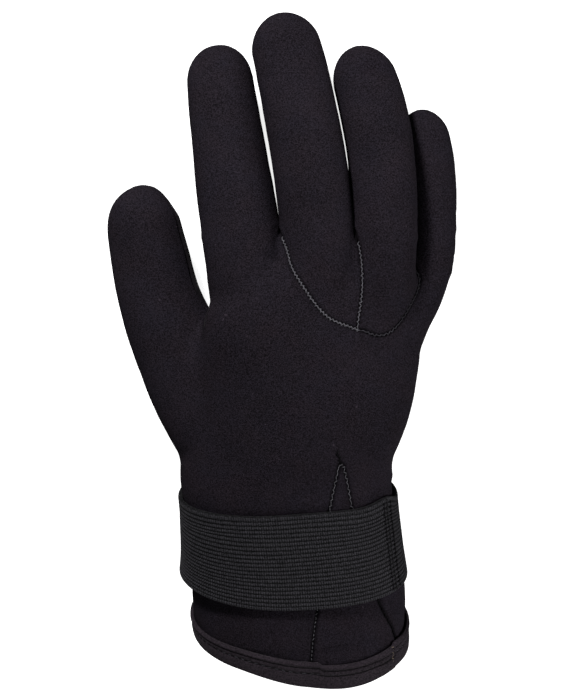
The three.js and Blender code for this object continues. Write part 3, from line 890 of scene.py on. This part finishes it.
inward = -normals * wall
# Painted shade for the seam grooves: strongest on the seam, gone about two millimetres away. It is
# stored on the panels as the seam field.
seam_groove_shade = bell(seam_near, 1.0)
panel_nodes = {
    BACK: ("back_panel", "neoprene", neoprene),
    MIDDLE: ("middle_finger_back", "neoprene", neoprene),
    RING: ("ring_finger_back", "neoprene", neoprene),
    PALM: ("palm_panel", "grip_palm", grip_rubber),
    WRIST: ("wrist_gusset", "neoprene", neoprene),
}
for number, (node, slot, material) in panel_nodes.items():
    piece_mesh = wall_mesh(
        node + "_cloth", triangles[owner == number], skin, inward, {"seam": seam_groove_shade}
    )
    piece = object_of(node + "_cloth", piece_mesh, material)
    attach(piece, "root")
    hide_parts(node)


# The stitches
# Thread crosses each seam of the back in a tight zigzag: bright over the knuckles and on the dart,
# dull on the lobe by the little finger, dark on the far side of the gusset.
def stitch_tree():
    """Short threads along a line that carries its upward direction, in metres."""
    tree = bpy.data.node_groups.new("stitches", "GeometryNodeTree")
    tree.interface.new_socket("Seam", in_out="INPUT", socket_type="NodeSocketGeometry")
    for label in ("Pitch", "Length", "Thickness", "Slant", "Rise"):
        tree.interface.new_socket(label, in_out="INPUT", socket_type="NodeSocketFloat")
    tree.interface.new_socket("Seed", in_out="INPUT", socket_type="NodeSocketInt")
    tree.interface.new_socket("Thread", in_out="INPUT", socket_type="NodeSocketMaterial")
    tree.interface.new_socket("Stitches", in_out="OUTPUT", socket_type="NodeSocketGeometry")
    start = tree.nodes.new("NodeGroupInput")
    given = {socket.name: Wire(tree, socket) for socket in start.outputs if socket.name}
    wire = Wire(tree)
    line = wire.node("GeometryNodeMeshToCurve", {}, {"Mesh": given["Seam"]})
    line = wire.node(
        "GeometryNodeResampleCurve", {"mode": "LENGTH"}, {"Curve": line, "Length": given["Pitch"]}
    )
    up = wire.node("GeometryNodeInputNamedAttribute", {"data_type": "FLOAT_VECTOR"}, {"Name": "up"})
    tangent = wire.node("GeometryNodeInputTangent")
    rise = wire.node("ShaderNodeVectorMath", {"operation": "SCALE"}, {0: up, "Scale": given["Rise"]})
    line = wire.node("GeometryNodeSetPosition", {}, {"Geometry": line, "Offset": rise})
    half = given["Length"] * 0.5
    ends = [
        wire.node("ShaderNodeCombineXYZ", {}, {"X": x, "Z": z})
        for x, z in ((half * -1, given["Thickness"] * -0.9), (0.0, given["Thickness"] * 1.4),
                     (half, given["Thickness"] * -0.9))
    ]
    arc = wire.node(
        "GeometryNodeCurveQuadraticBezier", {},
        {"Resolution": 4, "Start": ends[0], "Middle": ends[1], "End": ends[2]},
    )
    round_thread = wire.node(
        "GeometryNodeCurvePrimitiveCircle", {}, {"Resolution": 6, "Radius": given["Thickness"]}
    )
    thread = wire.node(
        "GeometryNodeCurveToMesh", {},
        {"Curve": arc, "Profile Curve": round_thread, "Fill Caps": True},
    )
    turn = wire.node("FunctionNodeAlignRotationToVector", {"axis": "X"}, {"Vector": tangent})
    turn = wire.node(
        "FunctionNodeAlignRotationToVector", {"axis": "Z", "pivot_axis": "X"},
        {"Rotation": turn, "Vector": up},
    )
    count = wire.node("GeometryNodeInputIndex")
    every_other = count.maths("MODULO", count, 2.0) * 2 - 1
    uneven = wire.node(
        "FunctionNodeRandomValue", {"data_type": "FLOAT"}, {2: -0.45, 3: 0.45, "Seed": given["Seed"]},
        output=1,
    )
    lean = given["Slant"] * every_other + uneven
    slant = wire.node("ShaderNodeCombineXYZ", {}, {"Z": lean})
    slant = wire.node("FunctionNodeEulerToRotation", {}, {"Euler": slant})
    turn = wire.node(
        "FunctionNodeRotateRotation", {"rotation_space": "LOCAL"},
        {"Rotation": turn, "Rotate By": slant},
    )
    made = wire.node(
        "GeometryNodeInstanceOnPoints", {}, {"Points": line, "Instance": thread, "Rotation": turn}
    )
    made = wire.node("GeometryNodeRealizeInstances", {}, {"Geometry": made})
    made = wire.node(
        "GeometryNodeSetMaterial", {}, {"Geometry": made, "Material": given["Thread"]}
    )
    finish = tree.nodes.new("NodeGroupOutput")
    tree.links.new(made.socket, finish.inputs["Stitches"])
    return tree


stitches = stitch_tree()


def thread_material(name, dark, light):
    material, wire, shader, place = new_material(name, 0.6)
    strands = noise_wire(wire, place, 0.5, 2.0, 0.6)
    plug(mixed(wire, strands * 2 - 0.5, (*dark, 1), (*light, 1)), shader, "Base Color")
    bump_of(wire, strands, 0.08, shader)
    return material


bright_thread = thread_material("bright thread", (0.008, 0.0075, 0.009), (0.12, 0.115, 0.13))
dull_thread = thread_material("dull thread", (0.006, 0.0055, 0.0065), (0.045, 0.042, 0.05))
tan_thread = thread_material("tan thread", (0.03, 0.024, 0.018), (0.14, 0.11, 0.085))
dark_thread = thread_material("dark thread", (0.0008, 0.0008, 0.001), (0.004, 0.0035, 0.0045))


def sew(name, line, up, thread, seed, pitch, length, slant, thickness=0.2, rise=0.0):
    """A row of stitches along a line of points, sizes in millimetres."""
    mesh = bpy.data.meshes.new(name)
    edges = [(k, k + 1) for k in range(len(line) - 1)]
    mesh.from_pydata(((line + shift) * MM).tolist(), edges, [])
    mesh.attributes.new("up", "FLOAT_VECTOR", "POINT").data.foreach_set("vector", up.ravel())
    row = object_of(name, mesh)
    modifier = row.modifiers.new("stitches", "NODES")
    modifier.node_group = stitches
    sizes = {
        "Pitch": pitch * MM, "Length": length * MM, "Thickness": thickness * MM, "Slant": slant,
        "Rise": rise * MM, "Seed": seed, "Thread": thread,
    }
    for socket in stitches.interface.items_tree:
        if socket.in_out == "INPUT" and socket.name in sizes:
            modifier[socket.identifier] = sizes[socket.name]
    sewn = applied(row)
    sewn.shade_smooth()
    row = object_of(name, sewn)
    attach(row, "root")


def seam_path(first, second, low, high):
    """The points of a seam between two panels, far end first, and the skin's direction there."""
    pairs = on_seam[(meeting == sorted((first, second))).all(1)]
    middle_y = skin[pairs, 1].mean(1)
    pairs = pairs[(middle_y > low) & (middle_y < high)]
    beside = {}
    for a, b in pairs.tolist():
        beside.setdefault(a, []).append(b)
        beside.setdefault(b, []).append(a)
    ends = [point for point, near in beside.items() if len(near) == 1]
    longest = []
    for end in ends:
        path, last = [end], None
        while True:
            onward = [near for near in beside[path[-1]] if near != last and near not in path[-3:]]
            if not onward:
                break
            last = path[-1]
            path.append(onward[0])
        if len(path) > len(longest):
            longest = path
    if skin[longest[0], 1] < skin[longest[-1], 1]:
        longest.reverse()
    line, up = skin[longest], normals[longest]
    for step in range(4):
        line[1:-1] = (line[:-2] + 2 * line[1:-1] + line[2:]) / 4
    return line, up


on_seam, meeting = seam_edges(triangles, owner)
over_groove = seam_depth - 0.1
# Name, the two panels, how far up the hand, thread, seed, pitch, length, slant and thickness.
knuckle_seams = (
    ("left_knuckle_stitches", BACK, MIDDLE, 176, bright_thread, 1, 0.8, 1.5, 0.42, 0.27),
    ("centre_stitches", MIDDLE, RING, 174, bright_thread, 2, 0.9, 1.4, 0.5, 0.22),
    ("right_knuckle_stitches", BACK, RING, 160, dull_thread, 3, 1.0, 1.4, 0.6, 0.22),
)
for name, first, second, high, thread, seed, pitch, length, slant, thick in knuckle_seams:
    line, up = seam_path(first, second, 120, high)
    sew(name, line, up, thread, seed, pitch, length, slant, thick, rise=over_groove)
gusset_line, gusset_up = seam_path(BACK, WRIST, -20, 100)
apex = int(gusset_line[:, 1].argmax())
one_leg = gusset_line[: apex + 1][::-1], gusset_up[: apex + 1][::-1]
other_leg = gusset_line[apex:], gusset_up[apex:]
legs = sorted([one_leg, other_leg], key=lambda leg: leg[0][-1, 0])
over_strap = strap_from + strap_width - 6
leg_looks = (
    ("left_dart_stitches", legs[0], over_strap, 200, bright_thread, 4, 1.3, 1.3, 0.55, 0.17),
    ("right_dart_stitches", legs[1], over_strap, 200, bright_thread, 5, 1.3, 1.3, 0.55, 0.17),
    ("left_gusset_stitches", legs[0], -20, strap_from, bright_thread, 6, 1.9, 0.9, 0.3, 0.16),
    ("right_gusset_stitches", legs[1], -20, strap_from, dark_thread, 7, 1.6, 1.2, 0.2, 0.22),
)
for name, (line, up), low, high, thread, seed, pitch, length, slant, thick in leg_looks:
    kept = (line[:, 1] > low) & (line[:, 1] < high)
    sew(name, line[kept], up[kept], thread, seed, pitch, length, slant, thick,
        rise=over_groove)

# A few dark stitches run on past the dart's point. They are laid on the skin from above.
skin_tree = BVHTree.FromPolygons(skin.tolist(), triangles.tolist())
tail_plan = gusset_line[apex, :2] + np.outer(np.linspace(-0.4, 5.5, 12), (-0.28, 0.96))
tail_hits = [skin_tree.ray_cast((x, y, 200.0), (0, 0, -1)) for x, y in tail_plan.tolist()]
tail, tail_up = (np.array([hit[k] for hit in tail_hits], float) for k in (0, 1))
sew("dart_tail_stitches", tail, tail_up, dark_thread, 8, 1.5, 1.9, 0.8, 0.36,
    rise=0.2)


# The hem tape
# One woven nylon tape folded over the cut edge of the cuff and sewn through, with its ends lapped
# on the little finger's side. The thread pulls it into a groove with small puckers.
def woven(name, dark, light, size):
    material, wire, shader, place = new_material(name, 0.75, sheen=0.02)
    threads = noise_wire(wire, place, size, 2.0, 0.6)
    clouds = noise_wire(wire, place, 12.0, 1.0)
    # The crease field is painted shade: the tape is darkened where its stitched groove and its fold
    # line fall into shadow.
    crease_shade = wire.field("crease_shade")
    base = mixed(wire, threads * 2.4 + clouds * 0.4 - 0.9, (*dark, 1), (*light, 1))
    base = mixed(wire, crease_shade * 0.9, base, (*[0.3 * tone for tone in dark], 1))
    plug(base, shader, "Base Color")
    bump_of(wire, threads, 0.18, shader)
    return material


def band_mesh(name, grid, closed_around, closed_across):
    """A mesh of quads over a grid of points: rows round the wrist, columns across the band."""
    rows, columns = grid.shape[:2]
    faces = []
    for i in range(rows if closed_around else rows - 1):
        for k in range(columns if closed_across else columns - 1):
            a, b = i * columns + k, i * columns + (k + 1) % columns
            c, d = (i + 1) % rows * columns + (k + 1) % columns, (i + 1) % rows * columns + k
            faces.append((a, b, c, d))
    if not closed_around:
        faces.append(tuple(reversed(range(columns))))
        faces.append(tuple((rows - 1) * columns + k for k in range(columns)))
    return mesh_of(name, grid.reshape(-1, 3), faces)


tape_face = sewn_gap + tape_thick
fold = np.linspace(0, math.pi, 13)
face_columns = 61
face_line = np.linspace(binding_width, 0, face_columns)
tape_out_along = np.concatenate([face_line, -tape_face * np.sin(fold[1:-1]), face_line[::-6]])
tape_out_off = np.concatenate([
    np.full(face_columns, tape_face),
    -wall / 2 + (wall / 2 + tape_face) * np.cos(fold[1:-1]),
    np.full(len(face_line[::-6]), -wall - tape_face),
])
back_line = np.linspace(binding_width, 0, 5)
tape_in_along = np.concatenate([back_line, -sewn_gap * np.sin(fold[1:-1:2]), back_line[::-1]])
tape_in_off = np.concatenate([
    np.full(5, -wall - sewn_gap),
    -wall / 2 - (wall / 2 + sewn_gap) * np.cos(fold[1:-1:2]),
    np.full(5, sewn_gap),
])
tape_along = np.concatenate([tape_out_along, tape_in_along])
tape_off = np.concatenate([tape_out_off, tape_in_off])
is_face = np.arange(len(tape_along)) < face_columns

tape_steps = 420
angle = np.arange(tape_steps) / tape_steps * 2 * math.pi
turn, along_tape = np.meshgrid(angle, tape_along, indexing="ij")
off = np.broadcast_to(tape_off, turn.shape).copy()
pucker_count = 86
pucker = np.cos(turn * pucker_count)
groove_at = 5.0
fold_line_at = 7.4
ridge_at = 8.4
groove_depth = 0.55
fold_depth = 0.3
ridge_height = 0.35
edge_drop = 0.6
pucker_height = 0.16
swell_height = 0.2
lap_rise = 0.55
groove = bell(along_tape - groove_at, 0.5)
fold_line = bell(along_tape - fold_line_at, 0.3)
ridge = bell(along_tape - ridge_at, 0.6)
edge_round = bell(along_tape - binding_width, 0.45)
swell = soft_step(along_tape, -1, 2) * soft_step(-along_tape, -5, -2)
face_relief = ridge_height * ridge - groove_depth * groove * (0.8 + 0.2 * pucker)
face_relief = face_relief - fold_depth * fold_line - edge_drop * edge_round
face_relief += pucker_height * pucker * bell(along_tape - groove_at, 2.4) + swell_height * swell
lap_at = math.radians(35)
lap = soft_step(turn, lap_at - 0.015, lap_at) * soft_step(-turn, -lap_at - 0.3, -lap_at - 0.2)
off += is_face * face_relief + is_face * lap_rise * lap
rim_line = hem_distance(0.0, turn)
step_at = math.radians(83)
step_narrows = 0.11
lowered = soft_step(-turn, -step_at - 0.02, -step_at + 0.02)
lowered = lowered * soft_step(turn, lap_at - 0.03, lap_at)
narrowed = along_tape * (1 - step_narrows * lowered)
distance = np.where(along_tape < 0, rim_line + along_tape, hem_distance(narrowed, turn))
tape_grid = skin_point(palm, distance, turn, off)
tape_grid[..., 2] = np.maximum(tape_grid[..., 2], 0)
tape_mesh = band_mesh("hem_tape", tape_grid, True, True)
# Painted shade on the tape's face: strongest in the stitched groove, weaker along the fold line.
crease_shade = is_face * np.maximum(bell(along_tape - groove_at, 0.32), 0.8 * fold_line)
set_field(tape_mesh, "crease_shade", crease_shade)
edge_tape = woven("edge tape", (0.0035, 0.0027, 0.0036), (0.027, 0.0205, 0.0265), 0.6)
tape = object_of("hem_tape", tape_mesh, edge_tape)
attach(tape, "root")
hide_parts("hem_binding")


def on_palm(distance, angle, off):
    """Points on the palm's form with the outward direction at each."""
    line = skin_point(palm, distance, angle, off)
    return line, unit(skin_point(palm, distance, angle, off + 1) - line)


around = np.linspace(0, 2 * math.pi, 500)
hem_row, hem_up = on_palm(hem_distance(groove_at, around), around, tape_face - 0.35)
hem_row[:, 2] = np.maximum(hem_row[:, 2], 0.5)
sew("hem_stitches", hem_row, hem_up, dull_thread, 9, 2.9, 1.7, 0.0, 0.22)
lap_line = np.linspace(0.8, binding_width - 0.6, 30)
sewn_at = lap_at + 0.04
lap_row, lap_up = on_palm(hem_distance(lap_line, sewn_at), sewn_at, tape_face + lap_rise)
sew("lap_stitches", lap_row, lap_up, tan_thread, 10, 1.3, 1.3, 0.9, 0.2)


# The wrist strap
# A wide elastic webbing, woven with rubber cores that stand up as lengthwise ribs between plain
# selvedges. It crosses the back of the wrist and is sewn on under the thumb's side.
strap_thick = 1.6
strap_lean = 2.0
strap_sag = 1.0
strap_tuck_low = 5.0
strap_tuck_high = 4.5
tab_corner_at = math.radians(31)
tab_corner_reach = math.radians(17)
tab_corner_raised = 0.75
strap_stand_off = 3.6
lay_gap = 0.3
rib_count = 23
rib_height = 0.4
weft_pitch = 0.95


def strap_lift(angle, share):
    return strap_stand_off * np.maximum(0, np.cos(angle - math.pi)) ** 2 * (1 - share)


def strap_line(angle, inset, share):
    sag = strap_sag * np.maximum(0, np.sin(angle)) * (1 - share)
    tuck_low = strap_tuck_low * np.maximum(0, -np.cos(angle)) ** 2 * (1 - share)
    raised = tab_corner_raised * bell(np.asarray(angle) - tab_corner_at, tab_corner_reach)
    tuck_high = strap_tuck_high * np.maximum(0, np.cos(angle)) ** 2 * share * (1 - raised)
    width = strap_width - 2 * inset
    level = strap_from + inset + width * share - strap_lean * np.cos(angle)
    return level - sag + tuck_low - tuck_high


def ribs(share):
    """The height of the webbing's ribs, by the share across it."""
    edge = np.minimum(share, 1 - share) * strap_width
    inside = soft_step(edge, 1.0, 1.7)
    crest = np.abs(np.sin(share * rib_count * math.pi))
    return inside * rib_height * (crest - 1)


def strap_mesh(name, start, stop, steps, columns, foot, thick):
    """A strap round the wrist with a worked outer face and a plain inner one."""
    angle = np.linspace(math.radians(start), math.radians(stop), steps)
    share = np.linspace(0, 1, columns)
    turn, across = np.meshgrid(angle, share, indexing="ij")
    middle = skin_point(palm, strap_line(angle, 0.0, 0.5), angle, lay_gap)
    length = np.concatenate([[0], np.cumsum(np.linalg.norm(np.diff(middle, axis=0), axis=1))])
    edge = np.minimum(across, 1 - across) * strap_width
    rounding = thick * 0.5 * (1 - np.sqrt(np.clip(1 - (1 - np.clip(edge / 0.8, 0, 1)) ** 2, 0, 1)))
    face = foot(turn, across) + thick + ribs(across) - rounding
    outer = skin_point(palm, strap_line(turn, 0.0, across), turn, face)
    back_share = np.linspace(1, 0, 9)
    back_turn, back_across = np.meshgrid(angle, back_share, indexing="ij")
    under = skin_point(
        palm, strap_line(back_turn, 0.0, back_across), back_turn, foot(back_turn, back_across)
    )
    mesh = band_mesh(name, np.concatenate([outer, under], axis=1), False, True)
    return mesh, length, share


def elastic_material(name, dark, light):
    material, wire, shader, place = new_material(name, 0.6, sheen=0.02)
    crest = wire.field("crest")
    turn = wire.field("turn")
    threads = noise_wire(wire, place, 0.6, 2.0, 0.65)
    weft = turn.maths("COSINE", turn) * 0.5 + 0.5
    # Painted highlight: the rib crests are lightened, most where the weft crosses over them. The
    # hollows between the ribs keep the dark colour as painted shade.
    crest_highlight = crest * (weft * 0.7 + 0.3)
    base = mixed(wire, crest_highlight * 0.85 + threads * 1.9 - 0.95, (*dark, 1), (*light, 1))
    plug(base, shader, "Base Color")
    bump_of(wire, weft * crest + threads * 0.4, 0.22, shader)
    return material


elastic = elastic_material("ribbed elastic", (0.0010, 0.0010, 0.0012), (0.035, 0.0335, 0.039))
rib_columns = rib_count * 7 + 1
strap_steps = 330


def add_weave(mesh, share, length):
    """The painted highlight at each point of the webbing, strongest on the rib crests and even on the
    selvedges, and the turn of the weft threads over its ribs.
    """
    edge = np.minimum(share, 1 - share) * strap_width
    # The crest value is a painted highlight, high on the ribs and low between them as painted shade.
    # The selvedges get an even painted highlight.
    crest = np.abs(np.sin(share * rib_count * math.pi)) ** 1.2
    crest = np.where(edge < 1.5, 0.75 * soft_step(edge, 0, 0.5), crest)
    turn = np.tile(length[:, None] / weft_pitch * 2 * math.pi, (1, len(share)))
    for label, values, plain in (("crest", np.tile(crest, (len(length), 1)), 0.3), ("turn", turn, 0)):
        whole = np.full((len(length), len(share) + 9), float(plain))
        whole[:, : len(share)] = values
        set_field(mesh, label, whole)


strap, strap_length, strap_share = strap_mesh(
    "ribbed_strap", 30, 238, strap_steps, rib_columns,
    lambda turn, share: lay_gap + strap_lift(turn, share), strap_thick,
)
add_weave(strap, strap_share, strap_length)
strap = object_of("ribbed_strap", strap, elastic)
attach(strap, "root")
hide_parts("wrist_strap")


# The strap's tab
# Hook tape under a last length of the same webbing, sewn to the strap's end with two rows across,
# and pressed on the loop tape under the wrist.
tab_thick = 1.6
patch_thick = 1.5
patch_end = math.radians(-46)
tab_step = math.radians(12)


def tab_foot(turn, share):
    climb = soft_step(-turn, -patch_end - tab_step, -patch_end - tab_step / 3)
    return lay_gap + climb * (patch_thick + lay_gap)


tab_steps = 190
tab, tab_length, tab_share = strap_mesh(
    "ribbed_tab", -84, 29, tab_steps, rib_columns, tab_foot, tab_thick
)
add_weave(tab, tab_share, tab_length)
tab = object_of("ribbed_tab", tab, elastic)
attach(tab, "root")
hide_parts("strap_hook_tab")

# Two rows of stitches across hold the tab to the strap's end.
joint_share = np.linspace(0.05, 0.95, 40)
for name, degrees, seed in (("strap_joint_stitches", 33.0, 11), ("tab_joint_stitches", 25.0, 12)):
    at_angle = np.full(40, math.radians(degrees))
    line, up = on_palm(strap_line(at_angle, 0.0, joint_share), at_angle, lay_gap + strap_thick + 0.05)
    sew(name, line, up, dark_thread, seed, 1.7, 1.5, 0.15, 0.28)

# The loop tape
# A plain patch of brushed loops, sewn flat under the wrist, which the tab's hooks grip.
patch_inset = 3.0
patch_turn = np.linspace(math.radians(-112), patch_end, 60)
patch_share = np.concatenate([np.linspace(0, 1, 30), np.linspace(1, 0, 8)])
turn, across = np.meshgrid(patch_turn, patch_share, indexing="ij")
patch_face = np.concatenate([np.full(30, lay_gap + patch_thick), np.full(8, lay_gap)])
patch_grid = skin_point(
    palm, strap_line(turn, patch_inset, across), turn, np.broadcast_to(patch_face, turn.shape)
)
loop_tape = woven("loop tape", (0.003, 0.003, 0.0035), (0.010, 0.010, 0.011), 0.7)
patch = object_of("loop_pad", band_mesh("loop_pad", patch_grid, False, True), loop_tape)
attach(patch, "root")
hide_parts("loop_patch")


# The floor, the lights and the camera
# A plain table, near-white where the camera sees it. It throws little light back on the dark cloth.
# A soft key light stands behind the fingertips, with a fill on the right and a weak one in front.
floor_material, wire, shader, place = new_material("white table", 0.8)
clouds = noise_wire(wire, place, 300.0)
seen = wire.node("ShaderNodeLightPath")
paper = mixed(wire, clouds, (0.88, 0.88, 0.88, 1), (0.9, 0.9, 0.9, 1))
plug(mixed(wire, seen, (0.12, 0.12, 0.12, 1), paper), shader, "Base Color")
plug(mixed(wire, seen, (0, 0, 0, 1), (1, 1, 1, 1)), shader, "Emission Color")
shader.inputs["Emission Strength"].default_value = 0.85
floor_mesh = bpy.data.meshes.new("floor")
reach = 3.0
corners = [(-reach, -reach, 0), (reach, -reach, 0), (reach, reach, 0), (-reach, reach, 0)]
floor_mesh.from_pydata(corners, [], [(0, 1, 2, 3)])
floor = object_of("floor", floor_mesh, floor_material)
floor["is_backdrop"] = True

world = bpy.data.worlds.new("studio")
world.use_nodes = True
world.node_tree.nodes["Background"].inputs["Color"].default_value = (1, 1, 1, 1)
world.node_tree.nodes["Background"].inputs["Strength"].default_value = 0.15
bpy.context.scene.world = world


def soft_light(name, place, size, power):
    light = bpy.data.lights.new(name, "AREA")
    light.size = size
    light.energy = power
    lamp = bpy.data.objects.new(name, light)
    lamp.location = place
    lamp.rotation_euler = (Vector((0, 0, 0.03)) - Vector(place)).to_track_quat("-Z", "Y").to_euler()
    bpy.context.scene.collection.objects.link(lamp)


soft_light("key", (-0.38, 1.02, 0.6), 0.18, 22.5)
soft_light("fill", (1.1, -0.3, 0.48), 0.6, 12.5)
soft_light("front", (0.2, -1.0, 0.5), 0.6, 3.0)

camera = bpy.data.cameras.new("camera")
camera.lens = 113.4
camera.sensor_width = 36.0
view = bpy.data.objects.new("camera", camera)
looked_at = (np.array([-4.489, 127.0, 35.0]) + shift) * MM
tilt = math.radians(13)
stand_off = 0.9
view.location = looked_at + stand_off * np.array([0, math.sin(tilt), math.cos(tilt)])
view.rotation_euler = (-tilt, 0, 0)
bpy.context.scene.collection.objects.link(view)
bpy.context.scene.camera = view
bpy.context.scene.view_settings.view_transform = "Standard"

low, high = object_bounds()
